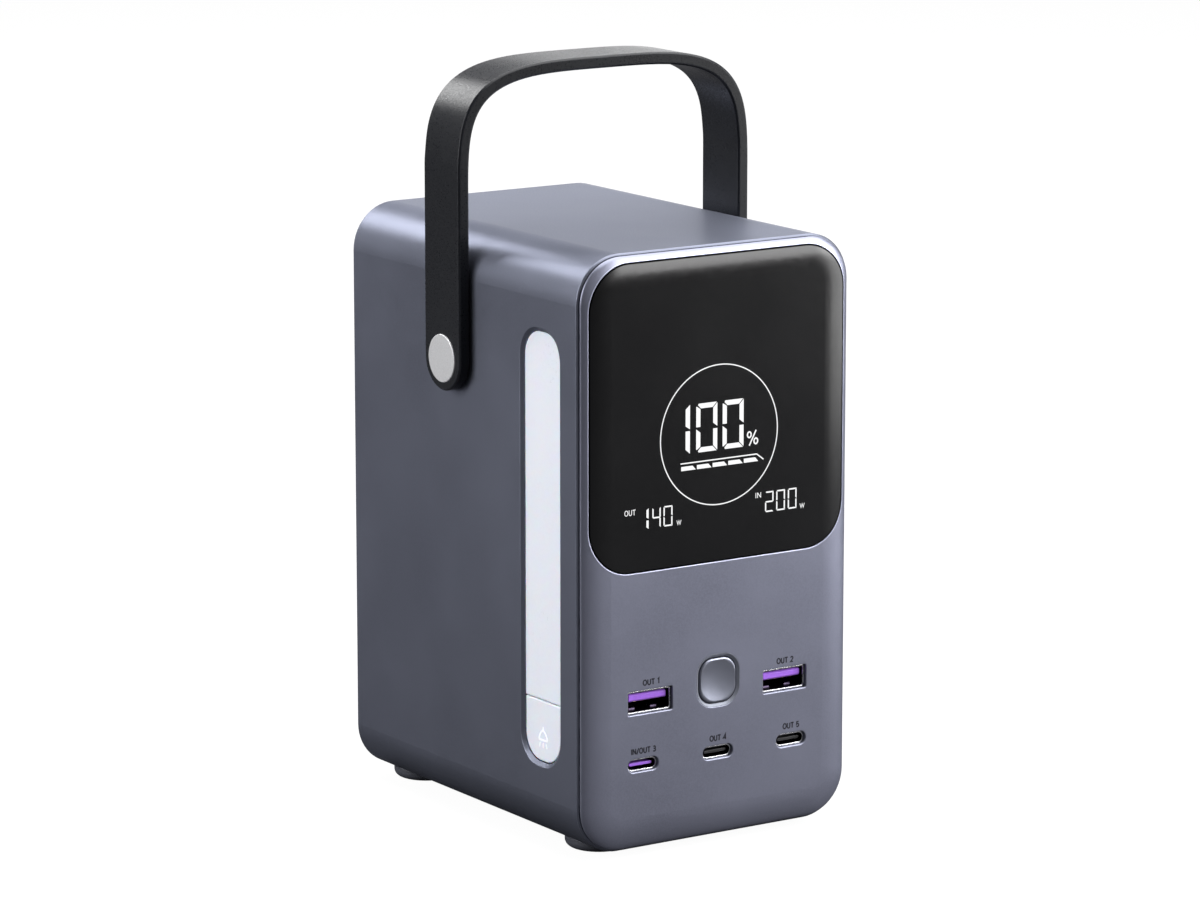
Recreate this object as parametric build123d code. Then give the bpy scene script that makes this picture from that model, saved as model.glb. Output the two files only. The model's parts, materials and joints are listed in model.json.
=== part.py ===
from build123d import *
import math
import os

# Portable power station with a swinging bail handle, a side lamp and a front display.
# Millimetres. +Z up, front faces -Y, lamp on the -X side.
# Origin: centre of the overall width and depth, on the plane the feet rest on.

# ---- body sleeve
SHELL_W = 82.2
SHELL_H = 152.2
SHELL_L = 106.7
SHELL_R = 12.2
WALL = 2.0
FOOT_H = 2.2
PANEL_PROUD = 2.5
FRONT_Y = -(SHELL_L + PANEL_PROUD) / 2
SEAM_Y = FRONT_Y + PANEL_PROUD
REAR_Y = SEAM_Y + SHELL_L
MID_Z = FOOT_H + SHELL_H / 2
SIDE_X = SHELL_W / 2
INNER_X = SIDE_X - WALL
INNER_R = SHELL_R - WALL
EDGE = 0.4
SLIP = 0.15
GAP = 0.3

# ---- front panel
PANEL_INSET = 0.6
PANEL_W = SHELL_W - 2 * PANEL_INSET
PANEL_H = SHELL_H - 2 * PANEL_INSET
PANEL_R = SHELL_R - PANEL_INSET
PILLOW_IN = 8.0
SEAM_GAP = 0.4
PANEL_BACK_Y = SEAM_Y - SEAM_GAP
FLOOR_BACK_Y = FRONT_Y + 3.0
SPIGOT_BACK_Y = FLOOR_BACK_Y + 3.1
SPIGOT_WALL = 2.0

# ---- rear cover
COVER_FRONT_Y = REAR_Y - 4.9
COVER_SKIN = 2.0
COVER_WALL = 1.5

# ---- display
GLASS_W = 77.3
GLASS_H = 78.1
GLASS_R = 11.8
GLASS_Z = 113.05
GLASS_BACK_Y = FRONT_Y + 2.0
LCD_W = 64.0
LCD_H = 62.0
LCD_R = 1.8
LCD_BACK_Y = GLASS_BACK_Y + 2.1
BOARD_T = 1.6
DISPLAY_BOARD_Y = LCD_BACK_Y + 0.1
DISPLAY_BOARD_W = 73.0
DISPLAY_BOARD_H = 68.0
DISPLAY_POST = (34.3, 29.0)
DISPLAY_POST_R = 2.2
DISPLAY_SCREW_R = 0.9

# ---- power button
BUTTON_Z = 43.1
BUTTON_W = 11.1
BUTTON_H = 11.5
BUTTON_R = 4.0
RING_BORDER = 1.1
RING_W = BUTTON_W + 2 * RING_BORDER
RING_H = BUTTON_H + 2 * RING_BORDER
RING_R = BUTTON_R + RING_BORDER
RING_DEPTH = 1.5
RING_SLOPE_DEPTH = 0.45
RING_LAND = 0.1
BUTTON_TRAVEL = 0.5
BUTTON_MOUTH = (BUTTON_W + 2 * GAP, BUTTON_H + 2 * GAP, BUTTON_R + GAP)
BUTTON_EDGE = 0.5
DISH_DEPTH = 0.5
DISH_R = 30.0
SWITCH_T = 2.0
PLUNGER_T = 0.6

# ---- sockets
USB_A_X = 20.7
USB_A_Z = 40.55
USB_A_W = 13.1
USB_A_H = 5.7
USB_A_L = 13.4
USB_C_X = (-22.8, 0.0, 22.8)
USB_C_Z = 24.4
USB_C_W = 8.94
USB_C_H = 3.16
USB_C_TONGUE_W = 6.69
USB_C_TONGUE_H = 0.72
SHEET = 0.3
USB_A_PLAY = 0.2
USB_C_PLAY = 0.15
SOCKET_RECESS = 0.8
SOCKET_FRONT_Y = FRONT_Y + SOCKET_RECESS
LIP = 0.15
PORT_BOARD_Y = FRONT_Y + 10.6
PORT_BOARD_W = 66.0
PORT_BOARD_H = 48.0
PORT_BOARD_Z = 34.5
PORT_POST = (29.5, 20.0)
PORT_POST_R = 2.5
PORT_SCREW_R = 1.1

# ---- side lamp
LAMP_Y = SEAM_Y + 16.7
LAMP_Z = MID_Z + 0.2
LENS_W = 16.2
LENS_H = 110.1
LENS_R = 6.8
LENS_SINK = 0.8
LENS_BEVEL = 1.1
LENS_FLANGE = 1.4
LENS_EDGE = 0.3
SPLIT_Z = MID_Z - 38.95
LAMP_BUTTON_Z = (SPLIT_Z + LAMP_Z - LENS_H / 2) / 2
LAMP_TRAVEL = 0.4
LAMP_BOARD_X = -35.0
LAMP_BOARD_T = 1.2
LAMP_POST_Y = -22.8
LAMP_POST_R = 2.2
LAMP_POST_Z = (34.0, 79.0, 124.0)
LAMP_SCREW_R = 0.8
LAMP_SWITCH_T = 0.8
LAMP_PLUNGER_T = 0.4
LED_COUNT = 9

# ---- handle
PIVOT_Y = SEAM_Y + 56.9
PIVOT_Z = MID_Z + 43.0
STRAP_X = 44.65
STRAP_T = 3.2
STRAP_W = 16.7
STRAP_BEND_Z = MID_Z + 84.0
STRAP_RISE = 34.3
STRAP_POWER = 3.7
STRAP_EDGE = 0.45
PIN_R = 3.0
PIN_PLAY = 0.05
CAP_R = 6.2
CAP_T = 1.2
CAP_PROUD = 0.3
BOSS_R = 8.0
BOSS_T = 1.2
NUT_T = 1.7

# ---- feet and screws
FOOT_R = 8.7
FOOT_X = 25.0
FOOT_FRONT_Y = SEAM_Y + 14.4
FOOT_REAR_Y = SEAM_Y + 97.6
FOOT_SEAT = 0.4
FOOT_EDGE = 1.9
SCREW_R = 1.5
SCREW_HEAD_R = 2.8
SCREW_HEAD_T = 1.3

# ---- battery
CELL_R = 16.1
CELL_L = 70.5
CELL_PITCH = 33.0
CELL_Y = 17.9
CELL_Z = 75.0
HOLDER_T = 6.0
STRIP_T = 0.3
TRAY_TOP_Z = 8.0
TRAY_HALF_W = 33.5
TRAY_FLOOR_T = 1.6

# ---- power electronics
MAIN_BOARD_Y = -20.0
MAIN_BOARD_HALF_W = 35.5
MAIN_BOARD_LOW_Z = 10.0
MAIN_BOARD_HIGH_Z = 148.0
SINK_HALF_W = 28.0
SINK_LOW_Z = 84.0
SINK_HIGH_Z = 140.0
SINK_BASE_T = 3.0
SINK_DEPTH = 18.0
FIN_COUNT = 9
FIN_T = 2.0
COIL_SIZE = 13.0
COIL_DEPTH = 9.0
COIL_Z = 72.0
CAN_R = 5.0
CAN_DEPTH = 16.0
CAN_Z = 50.0
MANAGEMENT_BOARD_Z = 143.4


def front_plate(width, height, radius, y_front, y_back, x=0.0, z=MID_Z):
    """Rounded rectangle in the XZ plane, filled from y_front back to y_back."""
    outline = Pos(x, y_back, z) * (Plane.XZ * RectangleRounded(width, height, radius))
    return extrude(outline, amount=y_back - y_front, dir=(0, -1, 0))


def side_plate(depth, height, radius, x_low, x_high, y, z):
    """Rounded rectangle in the YZ plane, filled from x_low to x_high."""
    outline = Pos(x_low, y, z) * (Plane.YZ * RectangleRounded(depth, height, radius))
    return extrude(outline, amount=x_high - x_low, dir=(1, 0, 0))


def countersink(width, height, radius, grow, depth, x, z):
    """Flared mouth cut from the front plane: wider by grow on each side at the front, tapering over depth."""
    wide = RectangleRounded(width + 2 * grow, height + 2 * grow, radius + grow)
    mouth = Pos(x, FRONT_Y, z) * (Plane.XZ * wide)
    throat = Pos(x, FRONT_Y + depth, z) * (Plane.XZ * RectangleRounded(width, height, radius))
    return loft([mouth, throat])


def block(x_low, x_high, y_low, y_high, z_low, z_high):
    """Box from its limits."""
    centre = Pos((x_low + x_high) / 2, (y_low + y_high) / 2, (z_low + z_high) / 2)
    return centre * Box(x_high - x_low, y_high - y_low, z_high - z_low)


def rod_x(radius, x_low, x_high, y, z):
    """Cylinder along X."""
    return Pos((x_low + x_high) / 2, y, z) * (Rot(0, 90, 0) * Cylinder(radius, x_high - x_low))


def rod_y(radius, y_low, y_high, x, z):
    """Cylinder along Y."""
    return Pos(x, (y_low + y_high) / 2, z) * (Rot(90, 0, 0) * Cylinder(radius, y_high - y_low))


def rod_z(radius, z_low, z_high, x, y):
    """Cylinder along Z."""
    return Pos(x, y, (z_low + z_high) / 2) * Cylinder(radius, z_high - z_low)


def join(solids):
    """Union of a list of solids."""
    total = solids[0]
    for solid in solids[1:]:
        total = total + solid
    return total


def gather(bodies):
    """Separate solids kept together as one piece."""
    return Compound(children=[solid for body in bodies for solid in body.solids()])


def save(name, shape):
    """Write one named piece."""
    shape.label = name
    export_step(shape, f"parts/{name}.step")


def pillow():
    """Panel skin: flat centre with an elliptical roll-off all round."""
    depth = PANEL_BACK_Y - FRONT_Y
    straight_w = PANEL_W - 2 * PANEL_R
    straight_h = PANEL_H - 2 * PANEL_R

    def section(half):
        arc = EllipticalCenterArc((half - PILLOW_IN, 0), PILLOW_IN, depth, start_angle=0, arc_size=90)
        edges = Line((0, 0), (half, 0)) + arc
        edges += Line((half - PILLOW_IN, depth), (0, depth))
        edges += Line((0, depth), (0, 0))
        return make_face(edges)

    half_slab = section(PANEL_W / 2)
    slab_x = extrude(half_slab + mirror(half_slab, Plane.YZ), amount=straight_h / 2, both=True)
    half_bar = section(PANEL_H / 2)
    slab_z = extrude(half_bar + mirror(half_bar, Plane.YZ), amount=straight_w / 2, both=True)
    corner = revolve(section(PANEL_R), axis=Axis.Y)
    # section y runs outwards from the panel back, so it is turned to face -Y
    solids = [Rot(180, 0, 0) * slab_x, Rot(180, 0, 0) * (Rot(0, 90, 0) * slab_z)]
    for sign_x in (-1, 1):
        for sign_z in (-1, 1):
            corner_place = Pos(sign_x * straight_w / 2, 0, sign_z * straight_h / 2)
            solids.append(corner_place * (Rot(180, 0, 0) * corner))
    return Pos(0, PANEL_BACK_Y, MID_Z) * join(solids)


def make_main_shell():
    shell = front_plate(SHELL_W, SHELL_H, SHELL_R, SEAM_Y, REAR_Y)
    ends = shell.faces().filter_by(Axis.Y).edges()
    shell = chamfer(ends, EDGE)
    shell -= front_plate(2 * INNER_X, SHELL_H - 2 * WALL, INNER_R, SEAM_Y - 1, REAR_Y + 1)
    # lamp opening with a bevelled rim
    hole_w = LENS_W + 2 * SLIP
    hole_h = LENS_H + 2 * SLIP
    hole_r = LENS_R + SLIP
    seat_x = -SIDE_X + LENS_SINK
    wide = RectangleRounded(LENS_W + 2 * LENS_BEVEL, LENS_H + 2 * LENS_BEVEL, LENS_R + LENS_BEVEL)
    rim = Pos(-SIDE_X, LAMP_Y, LAMP_Z) * (Plane.YZ * wide)
    seat = Pos(seat_x, LAMP_Y, LAMP_Z) * (Plane.YZ * RectangleRounded(hole_w, hole_h, hole_r))
    shell -= loft([rim, seat])
    shell -= side_plate(hole_w, hole_h, hole_r, seat_x - 0.1, -INNER_X + 1, LAMP_Y, LAMP_Z)
    # posts for the lamp board
    for post_z in LAMP_POST_Z:
        shell += rod_x(LAMP_POST_R, -INNER_X - 0.5, LAMP_BOARD_X, LAMP_POST_Y, post_z)
    # pivot bosses and pin holes
    for side in (-1, 1):
        low, high = sorted((side * (INNER_X + 0.5), side * (INNER_X - BOSS_T)))
        shell += rod_x(BOSS_R, low, high, PIVOT_Y, PIVOT_Z)
        low, high = sorted((side * (SIDE_X + 1), side * (INNER_X - BOSS_T - 1)))
        shell -= rod_x(PIN_R, low, high, PIVOT_Y, PIVOT_Z)
    # foot seats and countersunk case screw holes
    for x, y in foot_places():
        shell -= foot_seat(x, y)
        shell -= rod_z(SCREW_R + 0.1, FOOT_H, FOOT_H + WALL + 1, x, y)
        shell -= screw_head(x, y, SCREW_R + 0.1, SCREW_HEAD_R + 0.1)
    return shell


def foot_places():
    """Foot centres: front left, front right, rear left, rear right."""
    return [(x, y) for y in (FOOT_FRONT_Y, FOOT_REAR_Y) for x in (-FOOT_X, FOOT_X)]


def foot_seat(x, y):
    """Shallow round pocket that a foot sits in."""
    return rod_z(FOOT_R + 0.1, FOOT_H - 1, FOOT_H + FOOT_SEAT, x, y)


def screw_head(x, y, shank_r, head_r):
    """Countersunk head, wide end down, on the floor of a foot seat."""
    return Pos(x, y, FOOT_H + FOOT_SEAT + SCREW_HEAD_T / 2) * Cone(head_r, shank_r, SCREW_HEAD_T)


def make_front_panel(skin):
    spigot_w = 2 * (INNER_X - SLIP)
    spigot_h = SHELL_H - 2 * (WALL + SLIP)
    panel = skin + front_plate(spigot_w, spigot_h, INNER_R - SLIP, PANEL_BACK_Y - 0.1, SPIGOT_BACK_Y)
    inner_w = spigot_w - 2 * SPIGOT_WALL
    inner_h = spigot_h - 2 * SPIGOT_WALL
    panel -= front_plate(inner_w, inner_h, INNER_R - SLIP - SPIGOT_WALL, FLOOR_BACK_Y, SPIGOT_BACK_Y + 1)
    # glass and display recesses
    glass = (GLASS_W + 2 * SLIP, GLASS_H + 2 * SLIP, GLASS_R + SLIP)
    panel -= front_plate(*glass, FRONT_Y - 1, GLASS_BACK_Y, 0, GLASS_Z)
    lcd = (LCD_W + 2 * SLIP, LCD_H + 2 * SLIP, LCD_R + SLIP)
    panel -= front_plate(*lcd, GLASS_BACK_Y - 1, FLOOR_BACK_Y + 1, 0, GLASS_Z)
    # sockets
    for x in (-USB_A_X, USB_A_X):
        hole_w = USB_A_W + 2 * USB_A_PLAY
        hole_h = USB_A_H + 2 * USB_A_PLAY
        panel -= front_plate(hole_w, hole_h, 0.5, FRONT_Y - 1, FLOOR_BACK_Y + 1, x, USB_A_Z)
        panel -= countersink(hole_w, hole_h, 0.5, LIP, LIP, x, USB_A_Z)
    for x in USB_C_X:
        hole_w = USB_C_W + 2 * USB_C_PLAY
        hole_h = USB_C_H + 2 * USB_C_PLAY
        hole_r = hole_h / 2 - 0.01
        panel -= front_plate(hole_w, hole_h, hole_r, FRONT_Y - 1, FLOOR_BACK_Y + 1, x, USB_C_Z)
        panel -= countersink(hole_w, hole_h, hole_r, LIP, LIP, x, USB_C_Z)
    # power button
    ring = (RING_W + 0.1, RING_H + 0.1, RING_R + 0.05)
    panel -= front_plate(*ring, FRONT_Y - 1, FRONT_Y + RING_DEPTH, 0, BUTTON_Z)
    panel -= front_plate(*BUTTON_MOUTH, FRONT_Y, FLOOR_BACK_Y + 1, 0, BUTTON_Z)
    # board posts
    for sign_x in (-1, 1):
        for sign_z in (-1, 1):
            x = sign_x * DISPLAY_POST[0]
            z = GLASS_Z + sign_z * DISPLAY_POST[1]
            panel += rod_y(DISPLAY_POST_R, FLOOR_BACK_Y - 0.1, DISPLAY_BOARD_Y, x, z)
            panel -= rod_y(DISPLAY_SCREW_R, FLOOR_BACK_Y - 0.5, DISPLAY_BOARD_Y + 1, x, z)
            x = sign_x * PORT_POST[0]
            z = PORT_BOARD_Z + sign_z * PORT_POST[1]
            panel += rod_y(PORT_POST_R, FLOOR_BACK_Y - 0.1, PORT_BOARD_Y, x, z)
            panel -= rod_y(PORT_SCREW_R, PORT_BOARD_Y - 5, PORT_BOARD_Y + 1, x, z)
    return panel


def make_rear_cover():
    cover_w = 2 * (INNER_X - SLIP)
    cover_h = SHELL_H - 2 * (WALL + SLIP)
    cover = front_plate(cover_w, cover_h, INNER_R - SLIP, COVER_FRONT_Y, REAR_Y - EDGE)
    hollow = (cover_w - 2 * COVER_WALL, cover_h - 2 * COVER_WALL, INNER_R - SLIP - COVER_WALL)
    return cover - front_plate(*hollow, COVER_FRONT_Y - 1, REAR_Y - EDGE - COVER_SKIN)


def make_power_button():
    cap = front_plate(BUTTON_W, BUTTON_H, BUTTON_R, FRONT_Y, FLOOR_BACK_Y + GAP + 0.5, 0, BUTTON_Z)
    front_edges = [edge for edge in cap.edges() if abs(edge.center().Y - FRONT_Y) < 0.01]
    cap = fillet(front_edges, BUTTON_EDGE)
    cap -= Pos(0, FRONT_Y + DISH_DEPTH - DISH_R, BUTTON_Z) * Sphere(DISH_R)
    flange_front = FLOOR_BACK_Y + GAP
    flange = (BUTTON_W + 3.0, BUTTON_H + 3.0, BUTTON_R + 1.5)
    cap += front_plate(*flange, flange_front, flange_front + 1.0, 0, BUTTON_Z)
    stem_end = PORT_BOARD_Y - SWITCH_T - PLUNGER_T - GAP - BUTTON_TRAVEL
    cap += rod_y(2.5, flange_front + 0.7, stem_end, 0, BUTTON_Z)
    return cap


def make_button_ring():
    ring = front_plate(RING_W, RING_H, RING_R, FRONT_Y, FRONT_Y + RING_DEPTH, 0, BUTTON_Z)
    ring -= front_plate(*BUTTON_MOUTH, FRONT_Y - 1, FRONT_Y + RING_DEPTH + 1, 0, BUTTON_Z)
    return ring - countersink(*BUTTON_MOUTH, RING_BORDER - GAP - RING_LAND, RING_SLOPE_DEPTH, 0, BUTTON_Z)


def make_power_switch():
    body_front = PORT_BOARD_Y - SWITCH_T
    body = front_plate(6.0, 6.0, 0.5, body_front, PORT_BOARD_Y, 0, BUTTON_Z)
    return body + rod_y(1.7, body_front - PLUNGER_T, body_front + 0.1, 0, BUTTON_Z)


def make_usb_a(x):
    back_y = SOCKET_FRONT_Y + USB_A_L
    inner_w = USB_A_W - 2 * SHEET
    inner_h = USB_A_H - 2 * SHEET
    body = front_plate(USB_A_W, USB_A_H, 0.7, SOCKET_FRONT_Y, back_y, x, USB_A_Z)
    shell = body - front_plate(inner_w, inner_h, 0.45, SOCKET_FRONT_Y - 1, back_y - SHEET, x, USB_A_Z)
    inner_top = USB_A_Z + inner_h / 2
    inner_low = USB_A_Z - inner_h / 2
    # humps of the two grip springs on the floor of the socket
    for spring_x in (-3.3, 3.3):
        hump = rod_x(0.85, x + spring_x - 0.95, x + spring_x + 0.95, SOCKET_FRONT_Y + 3.6, inner_low - 0.1)
        shell += hump & body
    base_front = back_y - 4.0
    tongue_high = inner_top - 0.55
    tongue_low = tongue_high - 1.95
    insulator = front_plate(inner_w - 0.1, inner_h - 0.1, 0.5, base_front, back_y - SHEET, x, USB_A_Z)
    tongue = block(x - 5.6, x + 5.6, SOCKET_FRONT_Y + 0.7, base_front + 0.5, tongue_low, tongue_high)
    nose = tongue.edges().filter_by(Axis.X).group_by(Axis.Y)[0]
    insulator += chamfer(nose, 0.4)
    pins = []
    pin_front = SOCKET_FRONT_Y + 1.6
    for pin_x in (x - 3.5, x - 1.0, x + 1.0, x + 3.5):
        pins.append(block(pin_x - 0.5, pin_x + 0.5, pin_front, base_front, tongue_low - 0.2, tongue_low))
    return shell, insulator, gather(pins)


def make_usb_c(x):
    back_y = PORT_BOARD_Y
    shell = front_plate(USB_C_W, USB_C_H, USB_C_H / 2 - 0.01, SOCKET_FRONT_Y, back_y, x, USB_C_Z)
    inner_w = USB_C_W - 2 * SHEET
    inner_h = USB_C_H - 2 * SHEET
    shell -= front_plate(inner_w, inner_h, inner_h / 2 - 0.01, SOCKET_FRONT_Y - 1, back_y - SHEET, x, USB_C_Z)
    base_front = SOCKET_FRONT_Y + 5.4
    base_r = inner_h / 2 - 0.06
    insulator = front_plate(inner_w - 0.1, inner_h - 0.1, base_r, base_front, back_y - SHEET, x, USB_C_Z)
    tongue_front = SOCKET_FRONT_Y + 0.6
    insulator += front_plate(USB_C_TONGUE_W, USB_C_TONGUE_H, 0.3, tongue_front, base_front + 0.5, x, USB_C_Z)
    return shell, insulator


def make_port_board():
    back_y = PORT_BOARD_Y + BOARD_T
    board = front_plate(PORT_BOARD_W, PORT_BOARD_H, 2.0, PORT_BOARD_Y, back_y, 0, PORT_BOARD_Z)
    for x in (-USB_A_X, USB_A_X):
        board -= front_plate(USB_A_W + 0.3, USB_A_H + 0.3, 0.8, PORT_BOARD_Y - 1, back_y + 1, x, USB_A_Z)
    for x, z in port_posts():
        board -= rod_y(PORT_SCREW_R + 0.3, PORT_BOARD_Y - 1, back_y + 1, x, z)
    return board


def port_posts():
    return [(sx * PORT_POST[0], PORT_BOARD_Z + sz * PORT_POST[1]) for sx in (-1, 1) for sz in (-1, 1)]


def display_posts():
    return [(sx * DISPLAY_POST[0], GLASS_Z + sz * DISPLAY_POST[1]) for sx in (-1, 1) for sz in (-1, 1)]


def make_display_board():
    back_y = DISPLAY_BOARD_Y + BOARD_T
    board = front_plate(DISPLAY_BOARD_W, DISPLAY_BOARD_H, 3.0, DISPLAY_BOARD_Y, back_y, 0, GLASS_Z)
    for x, z in display_posts():
        board -= rod_y(DISPLAY_SCREW_R + 0.3, DISPLAY_BOARD_Y - 1, back_y + 1, x, z)
    return board


def board_screws(places, board_back_y, shank_r, head_r, reach):
    """Pan-head screws driven from behind a board."""
    screws = []
    for x, z in places:
        shank = rod_y(shank_r, board_back_y - BOARD_T - reach, board_back_y + 0.1, x, z)
        head = rod_y(head_r, board_back_y, board_back_y + 1.2, x, z)
        slot = block(x - head_r, x + head_r, board_back_y + 0.6, board_back_y + 2, z - 0.25, z + 0.25)
        screws.append(shank + head - slot)
    return gather(screws)


def make_lamp_lens():
    face_x = -SIDE_X + LENS_SINK
    keep = block(-SIDE_X, 0, LAMP_Y - 20, LAMP_Y + 20, SPLIT_Z + GAP / 2, LAMP_Z + LENS_H)
    body = side_plate(LENS_W, LENS_H, LENS_R, face_x, -INNER_X + 0.4, LAMP_Y, LAMP_Z) & keep
    body = fillet(body.faces().sort_by(Axis.X)[0].edges(), LENS_EDGE)
    grow = 2 * LENS_FLANGE
    rim = (LENS_W + grow, LENS_H + grow, LENS_R + LENS_FLANGE)
    return body + (side_plate(*rim, -INNER_X, -INNER_X + 0.8, LAMP_Y, LAMP_Z) & keep)


def make_lamp_button():
    face_x = -SIDE_X + LENS_SINK
    keep = block(-SIDE_X, 0, LAMP_Y - 20, LAMP_Y + 20, 0, SPLIT_Z - GAP / 2)
    trim = 2 * (GAP - SLIP)
    outline = (LENS_W - trim, LENS_H - trim, LENS_R - trim / 2)
    body = side_plate(*outline, face_x, -INNER_X + 1.0, LAMP_Y, LAMP_Z) & keep
    body = fillet(body.faces().sort_by(Axis.X)[0].edges(), LENS_EDGE)
    grow = 2 * (LENS_FLANGE - 0.2)
    rim = (LENS_W + grow, LENS_H + grow, LENS_R + LENS_FLANGE)
    flange = side_plate(*rim, -INNER_X + GAP, -INNER_X + 1.1, LAMP_Y, LAMP_Z) & keep
    stem_end = LAMP_BOARD_X - LAMP_SWITCH_T - LAMP_PLUNGER_T - GAP - LAMP_TRAVEL
    return body + flange + rod_x(1.5, -INNER_X + 0.9, stem_end, LAMP_Y, LAMP_BUTTON_Z)


def make_lamp_board():
    low_z = LAMP_Z - LENS_H / 2
    rear_y = LAMP_POST_Y + LAMP_POST_R + 0.3
    board_back = LAMP_BOARD_X + LAMP_BOARD_T
    board = block(LAMP_BOARD_X, board_back, LAMP_Y - LENS_W / 2, rear_y, low_z, low_z + LENS_H)
    for post_z in LAMP_POST_Z:
        board -= rod_x(LAMP_SCREW_R + 0.1, LAMP_BOARD_X - 1, board_back + 1, LAMP_POST_Y, post_z)
    return board


def make_lamp_leds():
    leds = []
    first_z = SPLIT_Z + 6.0
    pitch = (LAMP_Z + LENS_H / 2 - 6.0 - first_z) / (LED_COUNT - 1)
    for index in range(LED_COUNT):
        z = first_z + index * pitch
        leds.append(block(LAMP_BOARD_X - 0.7, LAMP_BOARD_X, LAMP_Y - 1.75, LAMP_Y + 1.75, z - 1.4, z + 1.4))
    return gather(leds)


def make_lamp_switch():
    body_x = LAMP_BOARD_X - LAMP_SWITCH_T
    body = side_plate(4.5, 4.5, 0.4, body_x, LAMP_BOARD_X, LAMP_Y, LAMP_BUTTON_Z)
    return body + rod_x(1.0, body_x - LAMP_PLUNGER_T, body_x + 0.1, LAMP_Y, LAMP_BUTTON_Z)


def make_lamp_screws():
    screws = []
    head_x = LAMP_BOARD_X + LAMP_BOARD_T
    for post_z in LAMP_POST_Z:
        shank = rod_x(LAMP_SCREW_R, LAMP_BOARD_X, head_x + 0.1, LAMP_POST_Y, post_z)
        screws.append(shank + rod_x(1.7, head_x, head_x + 1.0, LAMP_POST_Y, post_z))
    return gather(screws)


def strap_curve(offset, count):
    """Points of the bail arch, from +X over the top to -X, set in from the outer face by offset."""
    points = []
    for index in range(count + 1):
        # even steps of the normal's direction keep the shoulders smooth
        angle = math.pi * index / count
        cos_a, sin_a = math.cos(angle), math.sin(angle)
        x = STRAP_X * math.copysign(abs(cos_a) ** (2 / STRAP_POWER), cos_a)
        z = STRAP_RISE * sin_a ** (2 / STRAP_POWER)
        normal_x = math.copysign(abs(x / STRAP_X) ** (STRAP_POWER - 1), x) / STRAP_X
        normal_z = (z / STRAP_RISE) ** (STRAP_POWER - 1) / STRAP_RISE
        size = math.hypot(normal_x, normal_z)
        points.append((x - offset * normal_x / size, STRAP_BEND_Z + z - offset * normal_z / size))
    return points


def make_handle_strap():
    foot_z = PIVOT_Z - STRAP_W / 2
    outer = strap_curve(0, 24)
    inner = strap_curve(STRAP_T, 24)
    inner_x = STRAP_X - STRAP_T
    edges = Spline(outer, tangents=[(0, 1), (0, -1)])
    edges += Line((-STRAP_X, STRAP_BEND_Z), (-STRAP_X, foot_z))
    edges += Line((-STRAP_X, foot_z), (-inner_x, foot_z))
    edges += Line((-inner_x, foot_z), (-inner_x, STRAP_BEND_Z))
    edges += Spline(list(reversed(inner)), tangents=[(0, 1), (0, -1)])
    edges += Line((inner_x, STRAP_BEND_Z), (inner_x, foot_z))
    edges += Line((inner_x, foot_z), (STRAP_X, foot_z))
    edges += Line((STRAP_X, foot_z), (STRAP_X, STRAP_BEND_Z))
    band = Pos(0, PIVOT_Y + STRAP_W / 2, 0) * extrude(Plane.XZ * make_face(edges), amount=STRAP_W)
    reach = STRAP_BEND_Z + STRAP_RISE + STRAP_W
    height = reach - foot_z
    mid_z = foot_z + height / 2
    band &= side_plate(STRAP_W, height, STRAP_W / 2 - 0.005, -STRAP_X - 1, STRAP_X + 1, PIVOT_Y, mid_z)
    for side in (-1, 1):
        low, high = sorted((side * (STRAP_X - CAP_T), side * (STRAP_X + 1)))
        band -= rod_x(CAP_R + 0.08, low, high, PIVOT_Y, PIVOT_Z)
        low, high = sorted((side * (inner_x - 1), side * (STRAP_X + 1)))
        band -= rod_x(PIN_R + PIN_PLAY, low, high, PIVOT_Y, PIVOT_Z)
    return chamfer(strap_rims(band), STRAP_EDGE)


def strap_rims(band):
    """Long edges of the bail and the rims of its round ends, inside and out."""
    rims = []
    for edge in band.edges():
        on_side = abs(abs(edge.center().Y - PIVOT_Y) - STRAP_W / 2) < 0.02 and edge.length > 2 * STRAP_T
        on_end = edge.geom_type == GeomType.CIRCLE and abs(edge.radius - STRAP_W / 2) < 0.02
        if on_side or on_end:
            rims.append(edge)
    return rims


def make_pivot_pin(side):
    low, high = sorted((side * (INNER_X - BOSS_T - NUT_T - 0.2), side * (STRAP_X - CAP_T + 0.3)))
    shaft = rod_x(PIN_R, low, high, PIVOT_Y, PIVOT_Z)
    low, high = sorted((side * (STRAP_X - CAP_T + 0.02), side * (STRAP_X + CAP_PROUD)))
    cap = rod_x(CAP_R, low, high, PIVOT_Y, PIVOT_Z)
    rim = [edge for edge in cap.edges() if abs(abs(edge.center().X) - STRAP_X - CAP_PROUD) < 0.01]
    return fillet(rim, 0.25) + shaft


def make_pivot_washer(side):
    low, high = sorted((side * SIDE_X, side * (STRAP_X - STRAP_T - 0.05)))
    return rod_x(7.2, low, high, PIVOT_Y, PIVOT_Z) - rod_x(PIN_R, -50, 50, PIVOT_Y, PIVOT_Z)


def make_pivot_nut(side):
    face = side * (INNER_X - BOSS_T)
    nut = extrude(Pos(face, PIVOT_Y, PIVOT_Z) * (Plane.YZ * RegularPolygon(5.5, 6)), amount=-side * NUT_T)
    return nut - rod_x(PIN_R, -50, 50, PIVOT_Y, PIVOT_Z)


def make_foot(x, y):
    foot = rod_z(FOOT_R, 0, FOOT_H + WALL, x, y)
    bottom = [edge for edge in foot.edges() if abs(edge.center().Z) < 0.01]
    foot = fillet(bottom, FOOT_EDGE)
    # the top follows the case's rounded lower edge
    return foot - (front_plate(SHELL_W, SHELL_H, SHELL_R, SEAM_Y, REAR_Y) - foot_seat(x, y))


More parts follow.
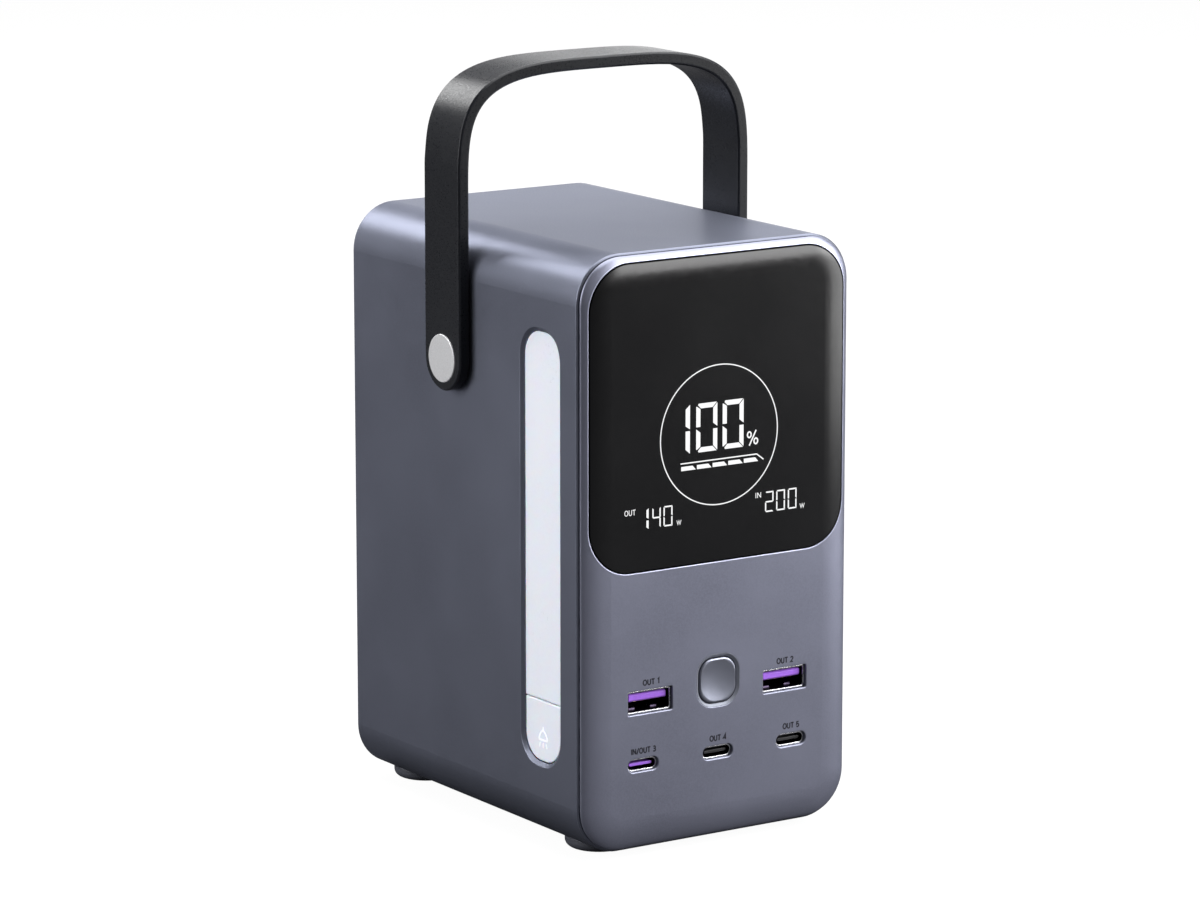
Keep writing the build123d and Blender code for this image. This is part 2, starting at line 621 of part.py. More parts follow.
def make_case_screws():
    screws = []
    for x, y in foot_places():
        shank = rod_z(SCREW_R, FOOT_H + FOOT_SEAT + SCREW_HEAD_T - 0.1, TRAY_TOP_Z - 0.6, x, y)
        screws.append(screw_head(x, y, SCREW_R, SCREW_HEAD_R) + shank)
    return gather(screws)


def cell_places():
    """Cell centres: two columns in depth, four rows in height."""
    places = []
    for column in (-0.5, 0.5):
        for row in (-1.5, -0.5, 0.5, 1.5):
            places.append((CELL_Y + column * CELL_PITCH, CELL_Z + row * CELL_PITCH))
    return places


def make_cells():
    cells = []
    for y, z in cell_places():
        cell = rod_x(CELL_R, -CELL_L / 2, CELL_L / 2 - 1.0, y, z)
        cells.append(cell + rod_x(5.0, CELL_L / 2 - 1.1, CELL_L / 2, y, z))
    return gather(cells)


def make_cell_holder(side):
    low, high = sorted((side * (CELL_L / 2 - 1.5 - HOLDER_T), side * (CELL_L / 2 - 1.5)))
    half_y = CELL_PITCH + 0.3
    half_z = 2 * CELL_PITCH + 0.9
    holder = block(low, high, CELL_Y - half_y, CELL_Y + half_y, CELL_Z - half_z, CELL_Z + half_z)
    for y, z in cell_places():
        holder -= rod_x(CELL_R + 0.1, low - 1, high + 1, y, z)
    holder -= block(low - 1, high + 1, CELL_Y - half_y - 1, CELL_Y + half_y + 1, 0, TRAY_TOP_Z + 0.1)
    return holder


def make_bus_strips(side):
    face = side * CELL_L / 2
    strips = []
    for row in (-1.5, -0.5, 0.5, 1.5):
        z = CELL_Z + row * CELL_PITCH
        low, high = sorted((face, face + side * STRIP_T))
        strips.append(block(low, high, CELL_Y - 22.5, CELL_Y + 22.5, z - 4.0, z + 4.0))
    return gather(strips)


def make_battery_tray():
    front_y = FOOT_FRONT_Y - 5
    tray = block(-TRAY_HALF_W, TRAY_HALF_W, front_y, COVER_FRONT_Y - 0.8, FOOT_H + WALL, TRAY_TOP_Z)
    # notch between the front feet and hollow underside
    tray -= block(-16, 16, front_y - 1, MAIN_BOARD_Y - 2, 0, TRAY_TOP_Z + 1)
    tray -= block(-TRAY_HALF_W + 5.5, TRAY_HALF_W - 5.5, -14, 36, 0, TRAY_TOP_Z - TRAY_FLOOR_T)
    tray &= front_plate(2 * (INNER_X - SLIP), SHELL_H - 2 * WALL, INNER_R - SLIP, SEAM_Y, REAR_Y)
    for x, y in foot_places():
        tray -= rod_z(SCREW_R, 0, TRAY_TOP_Z - 0.6, x, y)
    return tray


def make_main_board():
    half_w = MAIN_BOARD_HALF_W
    return block(-half_w, half_w, MAIN_BOARD_Y, MAIN_BOARD_Y + BOARD_T, MAIN_BOARD_LOW_Z, MAIN_BOARD_HIGH_Z)


def make_heat_sink():
    base_y = MAIN_BOARD_Y - SINK_BASE_T
    sink = block(-SINK_HALF_W, SINK_HALF_W, base_y, MAIN_BOARD_Y, SINK_LOW_Z, SINK_HIGH_Z)
    pitch = (2 * SINK_HALF_W - FIN_T) / (FIN_COUNT - 1)
    for index in range(FIN_COUNT):
        x = -SINK_HALF_W + index * pitch
        sink += block(x, x + FIN_T, MAIN_BOARD_Y - SINK_DEPTH, base_y + 0.5, SINK_LOW_Z, SINK_HIGH_Z)
    return sink


def make_inductors():
    coils = []
    front_y = MAIN_BOARD_Y - COIL_DEPTH
    for x in (-18.0, 0.0, 18.0):
        coils.append(front_plate(COIL_SIZE, COIL_SIZE, 1.5, front_y, MAIN_BOARD_Y, x, COIL_Z))
    return gather(coils)


def make_capacitors():
    cans = []
    for x in (-24.0, -12.0, 0.0, 12.0, 24.0):
        cans.append(rod_y(CAN_R, MAIN_BOARD_Y - CAN_DEPTH, MAIN_BOARD_Y, x, CAN_Z))
    return gather(cans)


def make_management_board():
    return block(-30, 30, -10, 46, MANAGEMENT_BOARD_Z, MANAGEMENT_BOARD_Z + BOARD_T)


os.makedirs("parts", exist_ok=True)

panel_skin = pillow()
glass_prism = front_plate(GLASS_W, GLASS_H, GLASS_R, FRONT_Y - 1, GLASS_BACK_Y, 0, GLASS_Z)
lcd = front_plate(LCD_W, LCD_H, LCD_R, GLASS_BACK_Y, LCD_BACK_Y, 0, GLASS_Z)

save("main_shell", make_main_shell())
save("front_panel", make_front_panel(panel_skin))
save("rear_cover", make_rear_cover())
save("display_glass", panel_skin & glass_prism)
save("display_module", lcd)
save("display_board", make_display_board())
save("display_screws", board_screws(display_posts(), DISPLAY_BOARD_Y + BOARD_T, DISPLAY_SCREW_R, 1.9, 1.0))
save("power_button", make_power_button())
save("power_button_ring", make_button_ring())
save("power_switch", make_power_switch())

for side_name, socket_x in (("left", -USB_A_X), ("right", USB_A_X)):
    a_shell, a_insulator, a_contacts = make_usb_a(socket_x)
    save(f"usb_a_shell_{side_name}", a_shell)
    save(f"usb_a_insulator_{side_name}", a_insulator)
    save(f"usb_a_contacts_{side_name}", a_contacts)

for place_name, socket_x in zip(("left", "centre", "right"), USB_C_X):
    c_shell, c_insulator = make_usb_c(socket_x)
    save(f"usb_c_shell_{place_name}", c_shell)
    save(f"usb_c_insulator_{place_name}", c_insulator)

save("port_board", make_port_board())
save("port_screws", board_screws(port_posts(), PORT_BOARD_Y + BOARD_T, PORT_SCREW_R, 2.3, 4.0))

save("lamp_lens", make_lamp_lens())
save("lamp_button", make_lamp_button())
save("lamp_board", make_lamp_board())
save("lamp_leds", make_lamp_leds())
save("lamp_switch", make_lamp_switch())
save("lamp_screws", make_lamp_screws())

save("handle_strap", make_handle_strap())
for side_name, side in (("left", -1), ("right", 1)):
    save(f"pivot_pin_{side_name}", make_pivot_pin(side))
    save(f"pivot_washer_{side_name}", make_pivot_washer(side))
    save(f"pivot_nut_{side_name}", make_pivot_nut(side))
    save(f"cell_holder_{side_name}", make_cell_holder(side))
    save(f"bus_strips_{side_name}", make_bus_strips(side))

foot_names = ("front_left", "front_right", "rear_left", "rear_right")
for foot_name, (foot_x, foot_y) in zip(foot_names, foot_places()):
    save(f"foot_{foot_name}", make_foot(foot_x, foot_y))
save("case_screws", make_case_screws())

save("battery_cells", make_cells())
save("battery_tray", make_battery_tray())
save("management_board", make_management_board())
save("main_board", make_main_board())
save("heat_sink", make_heat_sink())
save("inductors", make_inductors())
save("capacitors", make_capacitors())
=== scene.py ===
import json
import math

import bmesh
import bpy
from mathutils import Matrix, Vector


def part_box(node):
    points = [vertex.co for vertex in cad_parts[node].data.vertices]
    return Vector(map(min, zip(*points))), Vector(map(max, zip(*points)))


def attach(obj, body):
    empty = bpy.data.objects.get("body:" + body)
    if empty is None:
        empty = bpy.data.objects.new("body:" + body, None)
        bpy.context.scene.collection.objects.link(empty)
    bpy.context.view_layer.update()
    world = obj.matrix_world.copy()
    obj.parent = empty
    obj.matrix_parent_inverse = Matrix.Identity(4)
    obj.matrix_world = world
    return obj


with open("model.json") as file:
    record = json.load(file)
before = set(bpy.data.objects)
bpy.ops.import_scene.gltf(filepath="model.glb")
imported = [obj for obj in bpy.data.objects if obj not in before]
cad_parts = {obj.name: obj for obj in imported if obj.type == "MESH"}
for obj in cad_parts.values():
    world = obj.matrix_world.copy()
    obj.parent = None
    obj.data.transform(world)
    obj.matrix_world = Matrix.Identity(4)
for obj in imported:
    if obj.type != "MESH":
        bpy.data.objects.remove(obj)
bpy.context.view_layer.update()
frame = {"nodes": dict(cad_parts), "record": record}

MM = 0.001

# ---------------------------------------------------------------- material tools

NOISE_RANGE = (0.3, 0.7)        # what most of a noise texture's values lie between
BEVEL_SAMPLES = 6
EDGE_RANGE = (0.80, 0.995)      # rounded normal against true normal, from a sharp edge to a flat face
CLOUD_SCALE, EDGE_TINT_SCALE = 35.0, 220.0


class Nodes:
    """Small helper that builds one node material around a Principled shader."""

    def __init__(self, name):
        self.mat = bpy.data.materials.new(name)
        self.mat.use_nodes = True
        self.tree = self.mat.node_tree
        self.tree.nodes.clear()
        out = self.tree.nodes.new("ShaderNodeOutputMaterial")
        self.bsdf = self.tree.nodes.new("ShaderNodeBsdfPrincipled")
        self.link(self.bsdf.outputs[0], out.inputs[0])
        self.coords = self.tree.nodes.new("ShaderNodeTexCoord").outputs

    def link(self, source, target):
        self.tree.links.new(source, target)

    def fill(self, socket, value):
        """Link a socket to another one, or give it a number or colour of its own."""
        if hasattr(value, "node"):
            self.link(value, socket)
        elif isinstance(value, tuple):
            socket.default_value = (*value, 1.0)
        else:
            socket.default_value = value

    def set(self, **values):
        """Fill the shader's sockets, named with _ for a space."""
        for key, value in values.items():
            self.fill(self.bsdf.inputs[key.replace("_", " ")], value)

    def split(self, vector):
        node = self.tree.nodes.new("ShaderNodeSeparateXYZ")
        self.link(vector, node.inputs[0])
        return node.outputs

    def stretched(self, scale):
        """Object coordinates scaled along each axis."""
        node = self.tree.nodes.new("ShaderNodeMapping")
        node.inputs["Scale"].default_value = scale
        self.link(self.coords["Object"], node.inputs["Vector"])
        return node.outputs[0]

    def noise(self, scale, detail=2.0, rough=0.5, vector=None):
        node = self.tree.nodes.new("ShaderNodeTexNoise")
        node.inputs["Scale"].default_value = scale
        node.inputs["Detail"].default_value = detail
        node.inputs["Roughness"].default_value = rough
        self.link(vector or self.coords["Object"], node.inputs["Vector"])
        return node.outputs["Fac"]

    def spread(self, value, low=0.0, high=1.0, source=NOISE_RANGE):
        """Map the source range to low and high, clamped."""
        node = self.tree.nodes.new("ShaderNodeMapRange")
        node.inputs["From Min"].default_value, node.inputs["From Max"].default_value = source
        node.inputs["To Min"].default_value, node.inputs["To Max"].default_value = low, high
        self.link(value, node.inputs["Value"])
        return node.outputs[0]

    def math(self, operation, a, b=0.0):
        node = self.tree.nodes.new("ShaderNodeMath")
        node.operation = operation
        self.fill(node.inputs[0], a)
        self.fill(node.inputs[1], b)
        return node.outputs[0]

    def mix(self, factor, a, b):
        node = self.tree.nodes.new("ShaderNodeMix")
        node.data_type = "RGBA"
        for index, value in ((0, factor), (6, a), (7, b)):
            self.fill(node.inputs[index], value)
        return node.outputs[2]

    def outline(self, low, high, radius):
        """Distance from a rounded rectangle in the XZ plane, in metres and negative inside it."""
        place = self.split(self.coords["Object"])
        squares = []
        for axis in (0, 2):
            middle, half = (low[axis] + high[axis]) / 2, (high[axis] - low[axis]) / 2
            away = self.math("ABSOLUTE", self.math("SUBTRACT", place[axis], middle))
            over = self.math("MAXIMUM", self.math("SUBTRACT", away, half - radius), 0.0)
            squares.append(self.math("MULTIPLY", over, over))
        return self.math("SUBTRACT", self.math("SQRT", self.math("ADD", *squares)), radius)

    def depth(self, start, end):
        """0 in front of start and 1 behind end, as fractions of the node's depth."""
        return self.spread(self.split(self.coords["Generated"])["Y"], source=(start, end))

    def rounded(self, radius):
        """Normal that rolls over sharp edges by a radius in mm."""
        node = self.tree.nodes.new("ShaderNodeBevel")
        node.samples = BEVEL_SAMPLES
        node.inputs["Radius"].default_value = radius * MM
        return node.outputs[0]

    def edge_mask(self, rounded):
        """0 on flat faces, rising to 1 along sharp edges."""
        geometry = self.tree.nodes.new("ShaderNodeNewGeometry")
        dot = self.tree.nodes.new("ShaderNodeVectorMath")
        dot.operation = "DOT_PRODUCT"
        self.link(rounded, dot.inputs[0])
        self.link(geometry.outputs["Normal"], dot.inputs[1])
        return self.spread(dot.outputs["Value"], 1.0, 0.0, EDGE_RANGE)

    def bump(self, height, strength, depth, normal=None):
        """Normal with relief of a depth in mm."""
        node = self.tree.nodes.new("ShaderNodeBump")
        node.inputs["Strength"].default_value = strength
        node.inputs["Distance"].default_value = depth * MM
        self.link(height, node.inputs["Height"])
        if normal is not None:
            self.link(normal, node.inputs["Normal"])
        return node.outputs[0]


def tint(colour, factor):
    return tuple(min(1.0, channel * factor) for channel in colour)


# ---------------------------------------------------------------- materials

def finish_nodes(name, colour, rough, metallic=0.0, grain=2500.0, grain_depth=0.012, wear=1.35, roll=0.25,
                 rough_spread=0.05, vary=0.06, **extra):
    """Moulded or coated surface: cloudy colour, fine grain, edges rolled by roll mm and lightened along
    them by a factor, a patchy painted highlight.
    """
    n = Nodes(name)
    cloud = n.noise(CLOUD_SCALE, 3.0)
    speck = n.noise(grain, 2.0, 0.6)
    base = n.mix(n.spread(cloud), tint(colour, 1 - vary), tint(colour, 1 + vary))
    base = n.mix(n.spread(speck), base, tint(colour, 1 + vary * 1.5))
    rolled = n.rounded(roll)
    # painted highlight: the colour along sharp edges is multiplied by the factor in noisy patches, and a
    # factor under 1 darkens them
    tinted_edge = n.math("MULTIPLY", n.edge_mask(rolled), n.spread(n.noise(EDGE_TINT_SCALE, 3.0), 0.35, 1.0))
    base = n.mix(tinted_edge, base, tint(colour, wear))
    n.set(
        Base_Color=base,
        Roughness=n.math("ADD", n.spread(speck, -rough_spread, rough_spread),
                         n.spread(cloud, rough - 0.02, rough + 0.02)),
        Metallic=metallic,
        Normal=n.bump(speck, 0.35, grain_depth, rolled),
        **extra,
    )
    return n


def finish_material(*args, **options):
    return finish_nodes(*args, **options).mat


def framed_material(name, colour, rough, line, **options):
    """finish_material with a thin painted line along the glass's outline, lighter as a painted highlight or
    darker as painted shade: (from mm, to mm, tint, metallic).
    """
    n = finish_nodes(name, colour, rough, **options)
    start, end, line_tint, line_metallic = line
    middle, half = (start + end) / 2, abs(end - start) / 2
    off_line = n.math("ABSOLUTE", n.math("SUBTRACT", n.outline(*glass_box, GLASS_CORNER), middle * MM))
    mask = n.spread(off_line, 1.0, 0.0, (half * LINE_CORE * MM, half * MM))
    base = n.bsdf.inputs["Base Color"].links[0].from_socket
    n.set(Base_Color=n.mix(mask, base, tint(colour, line_tint)))
    metallic = options.get("metallic", 0.0)
    if line_metallic != metallic:
        n.set(Metallic=n.spread(mask, metallic, line_metallic, (0.0, 1.0)))
    return n.mat


def metal_material(name, colour, rough, stretch=(1, 1, 40), grain=900.0, metallic=1.0, roll=0.08):
    """Drawn or turned metal with fine lines across the stretched axis."""
    n = Nodes(name)
    lines = n.noise(grain, 3.0, 0.6, n.stretched(stretch))
    n.set(
        Base_Color=n.mix(n.spread(lines), tint(colour, 0.9), tint(colour, 1.08)),
        Metallic=metallic,
        Roughness=n.spread(lines, rough - 0.06, rough + 0.06),
        Normal=n.bump(lines, 0.2, 0.01, n.rounded(roll)),
    )
    return n.mat


def socket_plastic(name, colour, rear_colour, border):
    """Socket tongue in one colour, and its base, behind border (0 front to 1 back), in another."""
    n = Nodes(name)
    speck = n.noise(1800.0, 2.0, 0.6)
    front = n.mix(n.spread(speck), tint(colour, 0.93), tint(colour, 1.06))
    n.set(
        Base_Color=n.mix(n.depth(border - 0.02, border + 0.02), front, rear_colour),
        Roughness=n.spread(speck, 0.28, 0.38),
        Normal=n.bump(speck, 0.3, 0.006, n.rounded(0.15)),
    )
    return n.mat


def socket_metal(name, colour, shaded_inside_colour, border):
    """Plated rim, with the socket's inside, behind border (0 front to 1 back), darkened as painted shade.
    """
    n = Nodes(name)
    lines = n.noise(900.0, 3.0, 0.6, n.stretched((1, 30, 1)))
    rim = n.mix(n.spread(lines), tint(colour, 0.9), tint(colour, 1.08))
    n.set(
        # painted shade: the inside behind the rim takes a dark colour
        Base_Color=n.mix(n.depth(border * 0.6, border * 1.4), rim, shaded_inside_colour),
        Metallic=1.0,
        Roughness=n.spread(lines, 0.20, 0.32),
        Normal=n.bump(lines, 0.2, 0.01, n.rounded(0.15)),
    )
    return n.mat


def glow_material(name, colour, body_colour, strength):
    """Glowing mark with a faint unevenness, for a lit display or as a painted glow on a printed mark."""
    n = Nodes(name)
    lit = n.mix(n.spread(n.noise(700.0, 2.0)), tint(colour, 0.94), colour)
    n.set(Base_Color=body_colour, Roughness=0.5, Emission_Color=lit, Emission_Strength=strength)
    return n.mat


def ink_material(name, colour, rough):
    """Printed mark with slightly uneven cover."""
    n = Nodes(name)
    cover = n.noise(3000.0, 3.0)
    n.set(
        Base_Color=n.mix(n.spread(cover), tint(colour, 0.85), tint(colour, 1.2)),
        Roughness=n.spread(cover, rough - 0.06, rough + 0.06),
        Normal=n.bump(cover, 0.2, 0.004),
    )
    return n.mat


glass_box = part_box("display_glass")
GLASS_CORNER = 11.8 * MM
LINE_CORE = 0.7                             # share of a line's half width at full strength
GRAZING_TINT = (0.55, 0.56, 0.60)           # dims the metallic paint's reflections at low angles
SHELL_COLOUR = (0.150, 0.160, 0.203)
PANEL_COLOUR = (0.210, 0.218, 0.279)
PAINTED_HIGHLIGHT_LINE = (0.0, 0.4, 2.3, 0.7)           # painted highlight on the panel, just outside the glass, for the lip of its opening catching light
PAINTED_GAP_SHADE_LINE = (-0.35, 0.1, 0.15, 1.0)         # painted shade on the glass, just inside its edge, for the dark gap between glass and panel

materials = {
    "shell": finish_material("shell_satin", SHELL_COLOUR, 0.39, metallic=0.8, wear=2.4, roll=0.35,
                             Specular_Tint=GRAZING_TINT),
    "panel": framed_material("panel_satin", PANEL_COLOUR, 0.36, PAINTED_HIGHLIGHT_LINE, metallic=0.7, wear=2.2,
                             roll=0.25, Specular_Tint=GRAZING_TINT),
    "cover": finish_material("cover_satin", SHELL_COLOUR, 0.40, metallic=0.8, wear=2.0, roll=0.3,
                             Specular_Tint=GRAZING_TINT),
    "display": framed_material("display_gloss", (0.003, 0.003, 0.0032), 0.21, PAINTED_GAP_SHADE_LINE, grain=600.0,
                               grain_depth=0.001, wear=0.4, roll=0.12, rough_spread=0.015,
                               Specular_IOR_Level=0.38),
    "lcd": finish_material("lcd_dark", (0.01, 0.011, 0.012), 0.3),
    "button": finish_material("button_satin", (0.25, 0.262, 0.318), 0.34, metallic=0.9, grain=3200.0,
                              roll=0.2),
    "ring": finish_material("ring_satin", (0.17, 0.18, 0.215), 0.5, metallic=0.5, grain=3200.0, roll=0.1),
    "steel": metal_material("plated_steel", (0.82, 0.82, 0.83), 0.25, stretch=(1, 30, 1), roll=0.15),
    "socket": socket_metal("socket_steel", (0.92, 0.92, 0.93), (0.035, 0.027, 0.045), 0.03),
    "violet": socket_plastic("socket_violet", (0.38, 0.15, 0.78), (0.010, 0.008, 0.014), 0.6),
    "black": finish_material("moulded_black", (0.012, 0.012, 0.013), 0.45),
    "contact": metal_material("gold_contact", (0.83, 0.62, 0.28), 0.2),
    "lens": finish_material("lens_frosted", (0.84, 0.862, 0.95), 0.33, grain=1500.0, grain_depth=0.006,
                            wear=1.2, roll=0.3, vary=0.015, Subsurface_Weight=0.25, Subsurface_Scale=0.002),
    "led": finish_material("led_phosphor", (0.8, 0.72, 0.3), 0.4),
    # the strap's edges carry a strong painted highlight
    "strap": finish_material("strap_satin_black", (0.0075, 0.0082, 0.0105), 0.32, grain=2200.0,
                             grain_depth=0.02, wear=10.0, roll=0.35, rough_spread=0.07, vary=0.12,
                             Specular_IOR_Level=0.27),
    "pivot": metal_material("pivot_satin", (0.66, 0.66, 0.67), 0.36, stretch=(1, 1, 1), grain=2600.0,
                            metallic=0.4),
    "nylon": finish_material("nylon_black", (0.012, 0.012, 0.013), 0.5),
    "rubber": finish_material("foot_rubber", (0.060, 0.063, 0.078), 0.42, grain=1600.0, grain_depth=0.03,
                              wear=1.6),
    "cell": finish_material("cell_sleeve", (0.03, 0.16, 0.32), 0.3, wear=1.1),
    "nickel": metal_material("nickel_strip", (0.6, 0.58, 0.52), 0.3),
    "pcb": finish_material("board_green", (0.01, 0.09, 0.035), 0.4, grain=500.0, vary=0.15),
    "sink": metal_material("sink_aluminium", (0.62, 0.63, 0.65), 0.35),
    "ferrite": finish_material("ferrite_grey", (0.05, 0.05, 0.055), 0.6, grain=900.0, vary=0.15),
    "can": finish_material("can_sleeve", (0.03, 0.032, 0.05), 0.28),
}

# every CAD node takes its slot's material, and the sockets' metal shells have one of their own
slots = {entry["node"]: entry["material_slot"] for entry in frame["record"]["subparts"]}
for node_name, node_object in frame["nodes"].items():
    node_object.data.materials.clear()
    look = "socket" if node_name.startswith("usb_") and slots[node_name] == "steel" else slots[node_name]
    node_object.data.materials.append(materials[look])

lit_white = glow_material("display_light", (0.95, 0.955, 0.96), (0.05, 0.05, 0.05), 1.0)
panel_ink = ink_material("label_ink", (0.005, 0.005, 0.014), 0.7)
# the lamp button's printed mark gets a painted glow that keeps it bright white
lamp_mark_painted_glow = glow_material("lamp_mark", (0.90, 0.92, 1.0), (0.90, 0.92, 1.0), 0.45)

# ---------------------------------------------------------------- flat marks, in mm

MARK_PROUD = 0.03
MARK_SUNK = 0.03
SHARPEST_MITRE = 0.35           # cosine that limits how far a line's corner reaches out
MERGE_DISTANCE = 1e-7           # metres


def ribbon(points, width, closed=False):
    """Outline polygons of a line of constant width with mitred corners, one quad per run."""
    points = [Vector(p) for p in points]
    count = len(points)
    sides = []
    for index, point in enumerate(points):
        steps = []
        if closed or index > 0:
            steps.append((point - points[index - 1]).normalized())
        if closed or index < count - 1:
            steps.append((points[(index + 1) % count] - point).normalized())
        along = sum(steps, Vector((0, 0))).normalized()
        normal = Vector((-along.y, along.x))
        reach = width / 2 / max(SHARPEST_MITRE, normal.dot(Vector((-steps[0].y, steps[0].x))))
        sides.append((point + normal * reach, point - normal * reach))
    quads = []
    for index in range(count if closed else count - 1):
        (left, right), (next_left, next_right) = sides[index], sides[(index + 1) % count]
        quads.append([left, next_left, next_right, right])
    return quads


def mark_mesh(name, polygons, place, material, body):
    """Thin closed prisms from flat polygons. place maps (u, v, height) to a point."""
    bm = bmesh.new()
    for polygon in polygons:
        low = [bm.verts.new(Vector(place(u, v, -MARK_SUNK)) * MM) for u, v in polygon]
        high = [bm.verts.new(Vector(place(u, v, MARK_PROUD)) * MM) for u, v in polygon]
        bm.faces.new(high)
        bm.faces.new(list(reversed(low)))
        for i in range(len(polygon)):
            j = (i + 1) % len(polygon)
            bm.faces.new((low[i], low[j], high[j], high[i]))
    bmesh.ops.remove_doubles(bm, verts=bm.verts, dist=MERGE_DISTANCE)
    inner = [face for face in bm.faces if all(len(edge.link_faces) > 2 for edge in face.edges)]
    bmesh.ops.delete(bm, geom=inner, context="FACES_ONLY")
    bmesh.ops.recalc_face_normals(bm, faces=bm.faces)
    mesh = bpy.data.meshes.new(name)
    bm.to_mesh(mesh)
    bm.free()
    mesh.materials.append(material)
    piece = bpy.data.objects.new(name, mesh)
    bpy.context.collection.objects.link(piece)
    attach(piece, body)


def shift(polygons, du, dv):
    return [[(u + du, v + dv) for u, v in polygon] for polygon in polygons]


def box_of(node):
    """A node's lowest and highest corners in mm."""
    low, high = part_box(node)
    return Vector(low) / MM, Vector(high) / MM


front_y = box_of("display_glass")[0].y
shell_low, shell_high = box_of("main_shell")
mid_z = (shell_low.z + shell_high.z) / 2


def on_front(u, v, height):
    """Point on the flat of the front: u across, v up from the case's mid height."""
    return (u, front_y - height, mid_z + v)


# ---- seven segment digits

ZERO, TWO, FOUR = "abcdef", "abged", "bcfg"
LEAN = 0.75                     # slant of the cut ends, as a share of the stroke
WIDE_GAP, NARROW_GAP = 3.2, 1.6    # gaps at mid height on the right and on the left, in half gaps
ONE_GAP = 0.45                  # between the two bars of a one


def segments(width, height, stroke, gap, corner, lit):
    """Lit segments of one digit as polygons, origin at the lower left corner.

    a top, b upper right, c lower right, d bottom, e lower left, f upper left, g middle."""
    w, h, t, k, c = width, height, stroke, gap / 2, corner
    mid = h / 2
    below, over, under = mid - WIDE_GAP * k, mid + NARROW_GAP * k, mid - NARROW_GAP * k
    lean = t * LEAN
    shapes = {
        "a": [(c, h), (w - k, h), (w - t - k, h - t), (t + k, h - t), (c * 0.5 + k, h - c * 0.5)],
        "d": [(c, 0), (c * 0.5 + k, c * 0.5), (t + k, t), (w - t - k, t), (w - k, 0)],
        "b": [(w, h - k), (w, mid), (w - t, mid + lean), (w - t, h - t - k)],
        "c": [(w, k), (w - t, t + k), (w - t, below), (w, below)],
        "f": [(0, h - c), (c * 0.5 - k, h - c * 0.5 - 2 * k), (t, h - t - k), (t, over), (0, over)],
        "e": [(0, c), (0, under), (t, under - lean), (t, t + k), (c * 0.5 - k, c * 0.5 + 2 * k)],
        "g": [(k, mid), (t, mid + t / 2), (w - t, mid + t / 2), (w - k, mid), (w - t, mid - t / 2),
              (t, mid - t / 2)],
    }
    return [shapes[letter] for letter in lit]


def digits(height, stroke, gap, base, *places):
    """Digits on one base line; each place is (left, width, corner, lit segments)."""
    polygons = []
    for left, width, corner, lit in places:
        polygons += shift(segments(width, height, stroke, gap, corner, lit), left, base)
    return polygons


def digit_one(left, base, width, height, slant):
    """Two upright bars with slanted ends."""
    mid = height / 2
    bars = [
        [(0, mid + slant * LEAN), (width, mid), (width, height), (0, height - slant)],
        [(0, slant), (width, 0), (width, mid - ONE_GAP), (0, mid - ONE_GAP)],
    ]
    return shift(bars, left, base)


# ---- plain sans lettering

def arc_points(cx, cy, rx, ry, start, end, steps):
    angles = [math.radians(start + (end - start) * i / steps) for i in range(steps + 1)]
    return [(cx + rx * math.cos(a), cy + ry * math.sin(a)) for a in angles]


# each letter is its width and its strokes, drawn on a cell 1 high
LETTERS = {
    "O": (0.82, [arc_points(0.41, 0.5, 0.36, 0.46, 0, 345, 20) + [(0.77, 0.5)]]),
    "U": (0.74, [[(0.08, 1.0), (0.08, 0.36)] + arc_points(0.37, 0.34, 0.29, 0.30, 180, 360, 10)[1:]
                 + [(0.66, 1.0)]]),
    "T": (0.66, [[(0.0, 0.95), (0.66, 0.95)], [(0.33, 0.9), (0.33, 0.0)]]),
    "I": (0.2, [[(0.1, 0.0), (0.1, 1.0)]]),
    "N": (0.76, [[(0.08, 0.0), (0.08, 1.0)], [(0.1, 0.97), (0.66, 0.03)], [(0.68, 0.0), (0.68, 1.0)]]),
    "W": (1.06, [[(0.04, 1.0), (0.29, 0.03), (0.53, 0.9), (0.77, 0.03), (1.02, 1.0)]]),
    "/": (0.45, [[(0.02, -0.06), (0.43, 1.04)]]),
    "1": (0.42, [[(0.06, 0.78), (0.3, 0.97), (0.3, 0.0)]]),
    "2": (0.62, [arc_points(0.31, 0.7, 0.25, 0.26, 165, -35, 10) + [(0.06, 0.05), (0.6, 0.05)]]),
    "3": (0.62, [arc_points(0.29, 0.73, 0.22, 0.23, 150, -80, 9)
                 + arc_points(0.29, 0.27, 0.26, 0.24, 85, -150, 10)]),
    "4": (0.68, [[(0.5, 0.0), (0.5, 0.97), (0.04, 0.27), (0.66, 0.27)]]),
    "5": (0.62, [[(0.54, 0.95), (0.14, 0.95), (0.1, 0.52)]
                 + arc_points(0.3, 0.32, 0.27, 0.28, 115, -150, 10)]),
    "%": (1.0, [arc_points(0.22, 0.74, 0.16, 0.2, 0, 330, 10) + [(0.38, 0.74)],
                arc_points(0.78, 0.26, 0.16, 0.2, 0, 330, 10) + [(0.94, 0.26)],
                [(0.22, -0.02), (0.8, 1.02)]]),
    " ": (0.34, []),
}
LETTER_GAP = 0.14


def word(text, left, base, right, height, line):
    """Strokes of text fitted between left and right, standing on base."""
    natural = sum(LETTERS[letter][0] + LETTER_GAP for letter in text) - LETTER_GAP
    stretch = (right - left) / natural
    polygons, u = [], 0.0
    for letter in text:
        width, strokes = LETTERS[letter]
        for points in strokes:
            polygons += ribbon([(left + (u + x) * stretch, base + y * height) for x, y in points], line)
        u += width + LETTER_GAP
    return polygons


